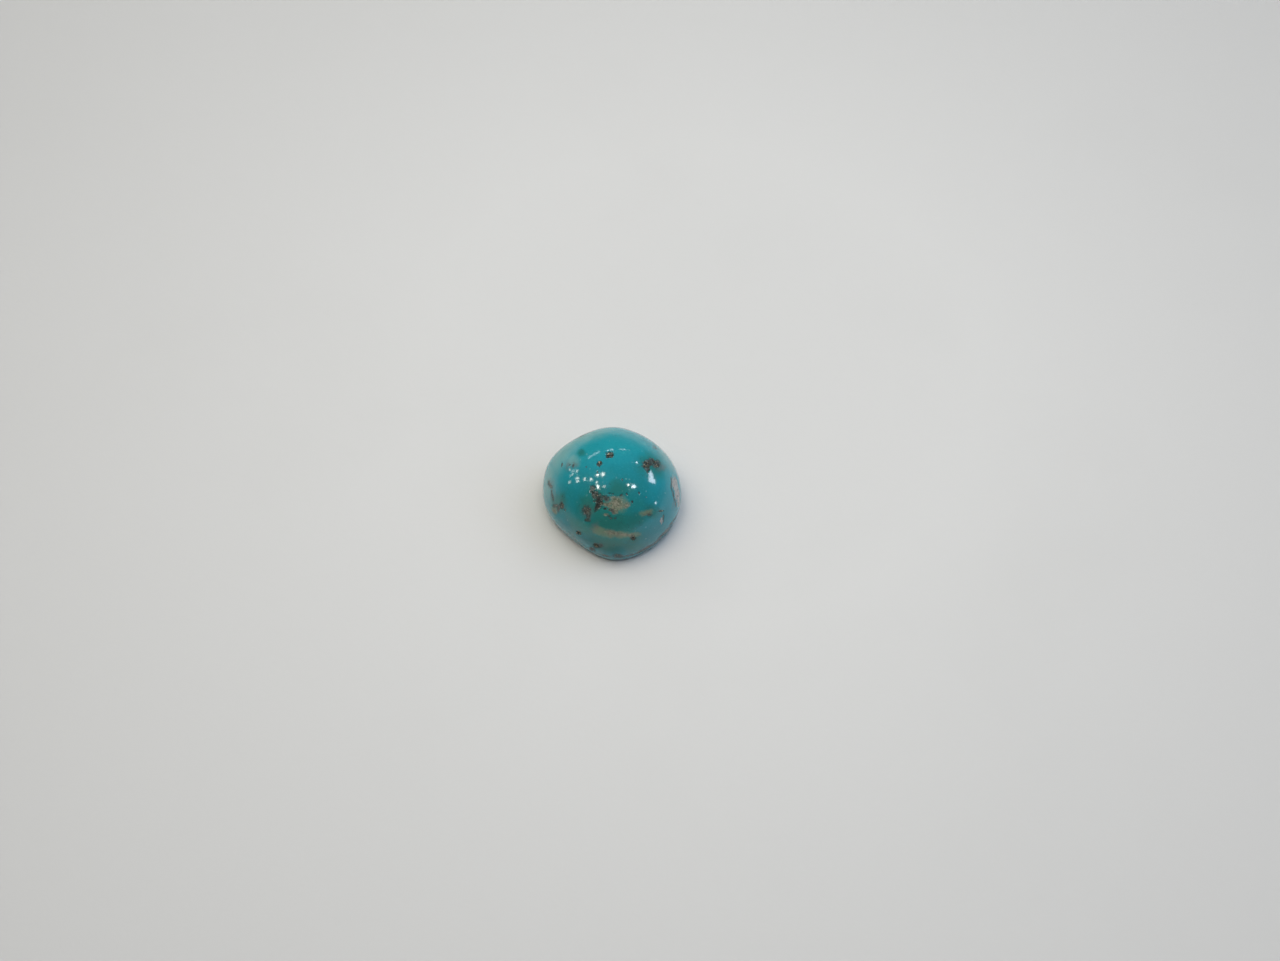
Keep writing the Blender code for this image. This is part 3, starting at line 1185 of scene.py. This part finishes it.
def stone_colour(tree, place, shares):
    """All the layers of colour, from the blue body up to the rough rind."""
    body = turquoise_colour(tree, place, shares["dull"])
    rock = brown_colour(tree, place)
    fresh = mix_colours(tree, noise_lumps(tree, place, FRESH_LUMP, detail=6.0), body, PALE_CLOUD)
    colours = {
        "clay_veil": veil_colour(tree, place),
        "grey_veil": PLUM_GREY,
        "cracks": UMBER,
        "tan": tan_colour(tree, place),
        "pale": quartz_colour(tree, place),
        "iron_rim": UMBER,
        "brown": rock,
        "dark": UMBER,
        "pit": rock,
        "pyrite": PYRITE_GOLD,
        "chip": fresh,
        "rind": rind_colour(tree, place, fresh, rock),
    }
    colour = body
    for name, cover in LAYER_COVERS:
        colour = lay_over(tree, colour, colours[name], shares[name], cover)
    return colour


print("layers from the body up:", ", ".join(name for name, _ in LAYER_COVERS))

# %% [markdown]
# ## Polish and fine relief
# The same shares drive the gloss: turquoise takes the best polish, matrix stays a little
# dull, a pit is matt. Relief too fine for the mesh is left to a bump. Its height is in
# millimetres, so even a scratch has a real size.

# %% Gloss and fine relief
# Roughness that a layer adds to the polish.
LAYER_ROUGHNESS = (
    ("tan", 0.10),
    ("pale", 0.06),
    ("matrix", 0.20),
    ("pit", 0.22),
    ("chip", 0.34),
    ("rind", 0.55),
    ("dull", 0.10),
)
POLISH_LUMP = 0.5
POLISH_ROUGHNESS = (0.07, 0.12)

# Heights of the layers against the polish, in millimetres.
LAYER_HEIGHTS = (
    ("matrix", -0.012),
    ("tan", -0.003),
    ("cracks", -0.003),
)
# Heights of the textures, in millimetres.
TEXTURE_HEIGHTS = (
    ("matrix_grain", 0.010),
    ("chip_ripples", 0.020),
    ("rind_lumps", 0.070),
    ("saw_marks", 0.040),
    ("scratches", 0.0006),
)
MATRIX_GRAIN = 0.05
CLAY_GRAININESS = 0.30
CHIP_RIPPLE = 0.16
ROUGH_LUMP = 0.22

# Marks of a tool: noise stretched into lines, and turned.
SAW_STRETCH = (0.12, 6.0, 1.0)
SAW_TURN = (0.0, 0.0, 0.4)
SAW_LINE = 1.0
SCRATCH_LINE = 0.45
# Each direction of scratches: (stretch, turn, nothing at, all at).
SCRATCHES = (
    ((0.25, 9.0, 9.0), (0.3, 0.5, 0.4), 0.68, 0.74),
    ((9.0, 0.25, 9.0), (0.2, 0.1, 1.1), 0.70, 0.76),
)


def polish_scratches(tree):
    """Faint hairlines in two directions, left by the last wheel."""
    lines = []
    for stretch, turn, low, high in SCRATCHES:
        place = millimetre_place(tree, stretch, turn)
        lines.append(edge(tree, noise_lumps(tree, place, SCRATCH_LINE, detail=3.0), low, high))
    return compute(tree, "ADD", *lines)


def fine_relief(tree, place, shares):
    """Fine relief in millimetres: grainy matrix, sawn base, rippled chips, scratches."""
    grain = noise_lumps(tree, place, MATRIX_GRAIN, detail=5.0, roughness=0.7)
    soft = compute(tree, "MAXIMUM", shares["matrix"], scaled(tree, shares["tan"], CLAY_GRAININESS))
    ripples = noise_lumps(tree, place, CHIP_RIPPLE, detail=2.0)
    lumps = noise_lumps(tree, place, ROUGH_LUMP, detail=8.0, roughness=0.7)
    saw = noise_lumps(tree, millimetre_place(tree, SAW_STRETCH, SAW_TURN), SAW_LINE, detail=2.0)
    textures = {
        "matrix_grain": compute(tree, "MULTIPLY", grain, soft),
        "chip_ripples": compute(tree, "MULTIPLY", ripples, shares["chip"]),
        "rind_lumps": compute(tree, "MULTIPLY", lumps, shares["rind"]),
        "saw_marks": compute(tree, "MULTIPLY", saw, shares["rind"]),
        "scratches": polish_scratches(tree),
    }
    return add_scaled(tree, add_scaled(tree, 0.0, shares, LAYER_HEIGHTS), textures, TEXTURE_HEIGHTS)


def stone_gloss(tree, place, shares):
    """Roughness: a good polish on the turquoise, duller on everything softer."""
    polish = blend(tree, noise_lumps(tree, place, POLISH_LUMP, detail=6.0), *POLISH_ROUGHNESS)
    return add_scaled(tree, polish, shares, LAYER_ROUGHNESS)


print(f"the finest relief is {min(height for _, height in TEXTURE_HEIGHTS)} mm")

# %% [markdown]
# ## The polished stone
# Colour, gloss and relief now meet in one material. Pyrite is the one metal here, and only
# where the rind doesn't cover it. Light goes a little way into turquoise and comes out
# again, so there is a thin subsurface, deepest for blue and least for red. Where the last
# wheel hardly reached, the surface mirrors less: the specular level drops there.

# %% Stone material
STONE_IOR = 1.61
SPECULAR_POLISHED = 0.50
SPECULAR_DULL = 0.16
SUBSURFACE_WEIGHT = 0.12
SUBSURFACE_RADIUS = (0.20, 0.75, 0.90)
SUBSURFACE_DEPTH = 0.25 * MM


def stone_material():
    """Polished turquoise with its clay, matrix, pyrite and unpolished rind."""
    material, tree, shader = new_material("polished_turquoise")
    place = millimetre_place(tree)
    shares = stone_shares(tree, place)
    bare = compute(tree, "SUBTRACT", 1.0, shares["rind"], clamp=True)
    fill(tree, shader, {
        "Base Color": stone_colour(tree, place, shares),
        "Roughness": stone_gloss(tree, place, shares),
        "Specular IOR Level": blend(tree, shares["dull"], SPECULAR_POLISHED, SPECULAR_DULL),
        "Metallic": compute(tree, "MULTIPLY", shares["pyrite"], bare),
        "Normal": bump(tree, fine_relief(tree, place, shares), 1.0, MM),
        "IOR": STONE_IOR,
        "Subsurface Weight": SUBSURFACE_WEIGHT,
        "Subsurface Radius": SUBSURFACE_RADIUS,
        "Subsurface Scale": SUBSURFACE_DEPTH,
    })
    return material


stone.data.materials.append(stone_material())
print(len(stone.data.materials[0].node_tree.nodes), "nodes in the stone's recipe")

# %% [markdown]
# ## Grains of pyrite in the hollows
# In the hollows grains of pyrite are left, and they flash. Pyrite grows as cubes with
# clipped corners. A bump map can't flash like a real facet does, so each grain is a tiny
# cube, bevelled, turned at random and half sunk in the floor of its hollow. They crowd
# together in the pits on the crown and thin out in the shallow ones.
# The random numbers start from a fixed seed, so the grains are the same on every run.

# %% Pyrite grains
GRAIN_SEED = 11
GRAIN_COVER = 0.42
GRAIN_SMALL = 0.045
GRAIN_LARGE = 0.140
CROWDED_DEPTH = 0.12

# Shares of a hollow's mouth or depth.
SEAT_REACH = 0.80
LARGEST_IN_DEPTH = 0.75

# Shares of a grain's size.
CUBE_SIDE = 1.2
CUBE_BEVEL = 0.14
CUBE_STRETCH = (0.75, 1.25)
CUBE_LIFT = 0.15


def grain_seat(randomness, hollow):
    """A random spot on the floor of a hollow, with the way out of the hollow."""
    bearing, rise, mouth, depth = hollow
    middle, along, across, out = tangent_frame(bearing, rise)
    turn = randomness.uniform(0.0, 2.0 * math.pi)
    reach = mouth * MM * SEAT_REACH * math.sqrt(randomness.random())
    ball = (mouth ** 2 + depth ** 2) / (2.0 * depth) * MM
    floor = ball - depth * MM - math.sqrt(max(ball ** 2 - reach ** 2, 0.0))
    spot = middle + reach * (math.cos(turn) * along + math.sin(turn) * across) + floor * out
    spot[:2] -= centre
    return Vector(spot), Vector(out)


def add_grain(shape, randomness, seat, size):
    """One bevelled cube about this many millimetres wide, stretched and turned at random."""
    stretch = Vector([randomness.uniform(*CUBE_STRETCH) for _ in range(3)]) * size * MM
    axis = Vector([randomness.gauss(0.0, 1.0) for _ in range(3)]).normalized()
    turn = Matrix.Rotation(randomness.uniform(0.0, math.pi), 4, axis)
    place = Matrix.Translation(seat) @ turn @ Matrix.Diagonal((*stretch, 1.0))
    cube = bmesh.ops.create_cube(shape, size=CUBE_SIDE, matrix=place)
    edges = {line for corner in cube["verts"] for line in corner.link_edges}
    bevel = CUBE_BEVEL * size * MM
    bmesh.ops.bevel(shape, geom=list(edges), offset=bevel, segments=1, affect="EDGES")


def build_grains():
    """All the grains as one mesh."""
    randomness = random.Random(GRAIN_SEED)
    shape = bmesh.new()
    for hollow in PITS:
        mouth, depth = hollow[2], hollow[3]
        room_left = GRAIN_COVER * mouth ** 2 * min(1.0, depth / CROWDED_DEPTH)
        while room_left > 0.0:
            size = GRAIN_SMALL + (GRAIN_LARGE - GRAIN_SMALL) * randomness.random() ** 2
            size = min(size, LARGEST_IN_DEPTH * depth)
            seat, out = grain_seat(randomness, hollow)
            add_grain(shape, randomness, seat + CUBE_LIFT * size * MM * out, size)
            room_left -= size ** 2
    return mesh_object("pyrite_grains", shape)


grains = build_grains()
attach(grains, "root")
print(len(grains.data.polygons), "facets on the pyrite grains")

# %% [markdown]
# ## Brassy metal
# Pyrite is a pale brassy metal that tarnishes brown. Faces of real cubes have fine steps
# on them, so a weak bump breaks up each flash.

# %% Pyrite
TARNISH_SIZE = 0.12
TARNISH_EDGE = (0.38, 0.62)
TARNISH_COVER = 0.8
TARNISH_ROUGHNESS = (0.28, 0.50)
STEP_SIZE = 0.03
STEP_STRENGTH = 0.4
STEP_HEIGHT = 0.002 * MM


def pyrite_material():
    """Brassy metal, tarnished brown in places."""
    material, tree, shader = new_material("pyrite")
    place = millimetre_place(tree)
    tarnish = edge(tree, noise_lumps(tree, place, TARNISH_SIZE, detail=5.0), *TARNISH_EDGE)
    steps = noise_lumps(tree, place, STEP_SIZE, detail=3.0)
    fill(tree, shader, {
        "Base Color": lay_over(tree, PYRITE_GOLD, BROWN, tarnish, TARNISH_COVER),
        "Roughness": blend(tree, tarnish, *TARNISH_ROUGHNESS),
        "Normal": bump(tree, steps, STEP_STRENGTH, STEP_HEIGHT),
        "Metallic": 1.0,
    })
    return material


grains.data.materials.append(pyrite_material())
print(f"tarnish covers up to {TARNISH_COVER:.0%} of the brass colour")

# %% [markdown]
# ## Floor
# The stone lies on a plain pale sheet. It is a disc that reaches far past the view on
# every side, because the polished flanks mirror it right to its rim, and it has the
# faintest paper grain so that it doesn't read as empty space. A pool of light is painted
# into its colour: the paper is painted brightest beside the stone and darker with
# distance, the way a sheet under one group of lamps is lit.

# %% Pale floor
FLOOR_RADIUS = 30.0 * stone_width
FLOOR_CORNERS = 96
PAPER = (0.606, 0.606, 0.601, 1.0)
PAPER_SHADE = (0.590, 0.590, 0.584, 1.0)
# Painted shade: the paper colour far from the painted pool of light.
PAPER_PAINTED_DIM = (0.470, 0.470, 0.468, 1.0)

# In millimetres. The first three place the pool of light painted into the paper's colour.
PAINTED_LIGHT_MIDDLE = (8.0, 15.0, 0.0)
PAINTED_LIGHT_REACH = 28.0
PAINTED_DIM_REACH = 98.0
SMUDGE_SIZE = 28.0
FIBRE_SIZE = 0.5

SMUDGE_EDGE = (0.45, 0.85)
FIBRE_STRENGTH = 0.3
FIBRE_HEIGHT = 0.05 * MM
PAPER_ROUGHNESS = 0.85
PAPER_SPECULAR = 0.2


def build_floor():
    """A flat pale disc under the stone."""
    shape = bmesh.new()
    bmesh.ops.create_circle(shape, cap_ends=True, segments=FLOOR_CORNERS, radius=FLOOR_RADIUS)
    return mesh_object("pale_floor", shape)


def paper_colour(tree, place):
    """Pale paper with broad, weak smudges, and a painted pool of light that darkens far from its middle.
    """
    smudges = edge(tree, noise_lumps(tree, place, SMUDGE_SIZE, detail=3.0), *SMUDGE_EDGE)
    # painted shade, darker with distance from the middle of the painted pool of light
    away = add_node(tree, "ShaderNodeVectorMath", {0: place, 1: PAINTED_LIGHT_MIDDLE}, operation="DISTANCE")
    dim = add_node(tree, "ShaderNodeMapRange", {
        "Value": away.outputs["Value"],
        "From Min": PAINTED_LIGHT_REACH,
        "From Max": PAINTED_DIM_REACH,
    }).outputs["Result"]
    return mix_colours(tree, dim, mix_colours(tree, smudges, PAPER, PAPER_SHADE), PAPER_PAINTED_DIM)


def paper_material():
    """Matt pale paper with a faint grain."""
    material, tree, shader = new_material("pale_paper")
    place = millimetre_place(tree)
    fibres = noise_lumps(tree, place, FIBRE_SIZE, detail=6.0, roughness=0.6)
    fill(tree, shader, {
        "Base Color": paper_colour(tree, place),
        "Normal": bump(tree, fibres, FIBRE_STRENGTH, FIBRE_HEIGHT),
        "Roughness": PAPER_ROUGHNESS,
        "Specular IOR Level": PAPER_SPECULAR,
    })
    return material


floor = build_floor()
floor.data.materials.append(paper_material())
print(f"the floor reaches {FLOOR_RADIUS / MM:.0f} mm from the stone")

# %% [markdown]
# ## Camera
# A small stone is looked at from above and in front, about sixty degrees up, with a
# fairly long lens. The camera looks at a point just right of the stone and behind it, so
# that the stone sits a little left of the middle of the frame without any lens shift.

# %% Camera
CAMERA_BEARING = -90.0
CAMERA_RISE = 60.0
CAMERA_DISTANCE = 200.0 * MM
LENS = 60.0
AIM = Vector((2.63 * MM, 0.88 * MM, 3.0 * MM))
NEAREST_SEEN = 0.01
FARTHEST_SEEN = 20.0


def look_along(thing, place, aim):
    """Put a camera or a lamp at a place and point it at the aim."""
    thing.location = place
    thing.rotation_euler = (aim - place).to_track_quat("-Z", "Y").to_euler()


camera = put_in_scene("camera", bpy.data.cameras.new("camera"))
camera.data.lens = LENS
camera.data.clip_start = NEAREST_SEEN
camera.data.clip_end = FARTHEST_SEEN
look_along(camera, AIM + CAMERA_DISTANCE * Vector(direction(CAMERA_BEARING, CAMERA_RISE)), AIM)
bpy.context.scene.camera = camera
print(f"the camera is {camera.location.z / MM:.0f} mm above the floor")

# %% [markdown]
# ## Light
# The dome works as a curved mirror: every lamp shows up on it as a bright spot, and the
# pale floor shows up as a milky band all round its rim. So the light comes in two kinds.
# Wide soft panels light the stone and give the floor its soft shadows, but stay out of
# the reflections. Small bright lamps do the opposite: they only show as highlights. They
# stand in groups, as the lamps and windows of a real room do: a fan of narrow strips on
# the left, pairs of spots overhead, one window on the right made of three panes, and a
# wide, weak one behind that stands for a pale wall.

# %% Light
STONE_MIDDLE = Vector((0.0, 0.0, 0.5 * stone_height))
LAMP_DISTANCE = 0.9
DAYLIGHT = (0.86, 0.92, 1.00)
LAMPLIGHT = (1.00, 0.97, 0.90)
WINDOW_TINT = (0.82, 0.86, 1.00)

# Soft panels: (name, bearing, rise, size, watts, colour).
SOFT_PANELS = (
    ("window_panel", 0.0, 42.0, 0.75, 2.5, (0.54, 0.73, 1.00)),
    ("right_panel", 45.0, 50.0, 0.75, 1.7, (0.94, 0.96, 1.00)),
    ("left_panel", 135.0, 50.0, 0.75, 2.1, (0.95, 1.00, 0.92)),
    ("warm_panel", 180.0, 68.0, 0.60, 2.4, (1.00, 0.88, 0.69)),
    ("front_panel", -90.0, 86.0, 0.60, 3.5, (1.00, 0.96, 0.94)),
)

# Highlights: (bearing, rise, width, height, lean, brightness, colour).
HIGHLIGHTS = (
    (161.0, 26.0, 0.022, 0.110, 32.0, 8.0, LAMPLIGHT),      # strips on the left
    (155.5, 27.0, 0.022, 0.075, 40.0, 8.0, LAMPLIGHT),
    (156.0, 34.0, 0.036, 0.050, 27.0, 11.0, LAMPLIGHT),
    (154.0, 21.0, 0.026, 0.038, 0.0, 8.0, LAMPLIGHT),
    (169.5, 22.0, 0.034, 0.070, 0.0, 8.0, LAMPLIGHT),
    (166.5, 36.5, 0.026, 0.090, 0.0, 13.0, LAMPLIGHT),
    (171.5, 36.5, 0.026, 0.095, 0.0, 14.0, LAMPLIGHT),
    (170.0, 48.5, 0.064, 0.036, 0.0, 15.0, LAMPLIGHT),
    (171.0, 59.0, 0.046, 0.058, 0.0, 18.0, LAMPLIGHT),
    (152.5, 68.0, 0.052, 0.052, 0.0, 28.0, LAMPLIGHT),      # spots overhead
    (139.5, 74.5, 0.082, 0.070, 0.0, 17.0, LAMPLIGHT),
    (-176.5, 68.5, 0.038, 0.038, 0.0, 16.0, LAMPLIGHT),
    (-157.5, 68.0, 0.080, 0.056, -25.0, 26.0, LAMPLIGHT),
    (-139.5, 76.5, 0.056, 0.030, 44.0, 15.0, LAMPLIGHT),
    (-10.5, 63.5, 0.044, 0.044, 0.0, 24.0, LAMPLIGHT),
    (-11.0, 55.5, 0.058, 0.098, 10.0, 24.0, DAYLIGHT),
    (26.0, 27.0, 0.060, 0.046, 0.0, 9.0, WINDOW_TINT),      # the window
    (20.0, 28.0, 0.110, 0.120, 0.0, 10.0, WINDOW_TINT),
    (12.5, 27.5, 0.100, 0.185, 0.0, 10.0, WINDOW_TINT),
    (46.0, 40.5, 0.044, 0.044, 0.0, 15.0, DAYLIGHT),        # far, weak lights
    (-14.5, 9.5, 0.034, 0.044, 0.0, 13.0, DAYLIGHT),
    (118.0, 41.0, 0.280, 0.026, 0.0, 7.0, DAYLIGHT),
    (93.0, 39.5, 0.030, 0.042, 0.0, 10.0, DAYLIGHT),
    (87.5, 37.5, 0.036, 0.046, 0.0, 10.0, DAYLIGHT),
    (74.5, 31.0, 0.120, 0.024, 41.0, 6.0, DAYLIGHT),
    (128.0, 5.0, 0.700, 0.340, 20.0, 0.5, DAYLIGHT),        # a pale wall, back left
)


def add_panel(name, bearing, rise, width, height, watts, colour):
    """A rectangular lamp at a bearing and rise, facing the stone."""
    data = bpy.data.lights.new(name, "AREA")
    data.shape = "RECTANGLE"
    data.size = width
    data.size_y = height
    data.energy = watts
    data.color = colour
    panel = put_in_scene(name, data)
    panel.visible_camera = False
    look_along(panel, STONE_MIDDLE + LAMP_DISTANCE * Vector(direction(bearing, rise)), STONE_MIDDLE)
    return panel


for name, bearing, rise, size, watts, colour in SOFT_PANELS:
    panel = add_panel(name, bearing, rise, size, size, watts, colour)
    panel.visible_glossy = False

for number, (bearing, rise, width, height, lean, brightness, colour) in enumerate(HIGHLIGHTS):
    watts = brightness * math.pi * width * height
    panel = add_panel(f"highlight_{number}", bearing, rise, width, height, watts, colour)
    panel.rotation_euler.rotate_axis("Z", math.radians(lean))
    panel.visible_diffuse = False
print(f"{len(SOFT_PANELS)} soft panels, {len(HIGHLIGHTS)} highlights")

# %% [markdown]
# ## The room
# Between the lamps the stone mirrors a dim room, which keeps the middle of the dome deep
# blue. A room is brighter low down, where pale walls catch the light from the floor, and
# that softens the edge of the milky band. The camera itself sees a plain backdrop with
# painted shade: it is painted as dark at its foot as the painted dim far floor and lighter
# upward, the way light falls on a curved paper sweep, so that the line where floor and
# backdrop meet hardly shows from low down.

# %% Room
ROOM_LIGHT = (0.112, 0.116, 0.120, 1.0)
WALL_LIGHT = (0.300, 0.310, 0.320, 1.0)
WALL_TOP = 0.30
# Painted shade: the backdrop's foot, as dim as the painted dim far floor.
PAINTED_SHADE_SWEEP_FOOT = (0.495, 0.496, 0.490, 1.0)
BACKDROP = (0.640, 0.645, 0.645, 1.0)
SWEEP_TOP = 0.17

room = bpy.data.worlds.new("dim_room")
room.use_nodes = True
bpy.context.scene.world = room
room_tree = room.node_tree
heading = add_node(room_tree, "ShaderNodeTexCoord").outputs["Generated"]
height_up = add_node(room_tree, "ShaderNodeSeparateXYZ", {"Vector": heading}).outputs["Z"]
walls = edge(room_tree, height_up, WALL_TOP, 0.0)
mirrored = mix_colours(room_tree, walls, ROOM_LIGHT, WALL_LIGHT)
# The backdrop the camera sees, with painted shade at its foot.
painted_sweep = mix_colours(room_tree, edge(room_tree, height_up, 0.0, SWEEP_TOP), PAINTED_SHADE_SWEEP_FOOT, BACKDROP)
to_camera = add_node(room_tree, "ShaderNodeLightPath").outputs["Is Camera Ray"]
room_colour = mix_colours(room_tree, to_camera, mirrored, painted_sweep)
fill(room_tree, room_tree.nodes["Background"], {"Color": room_colour})

bpy.context.scene.view_settings.view_transform = "Standard"
print("the room is", len(room_tree.nodes), "nodes")
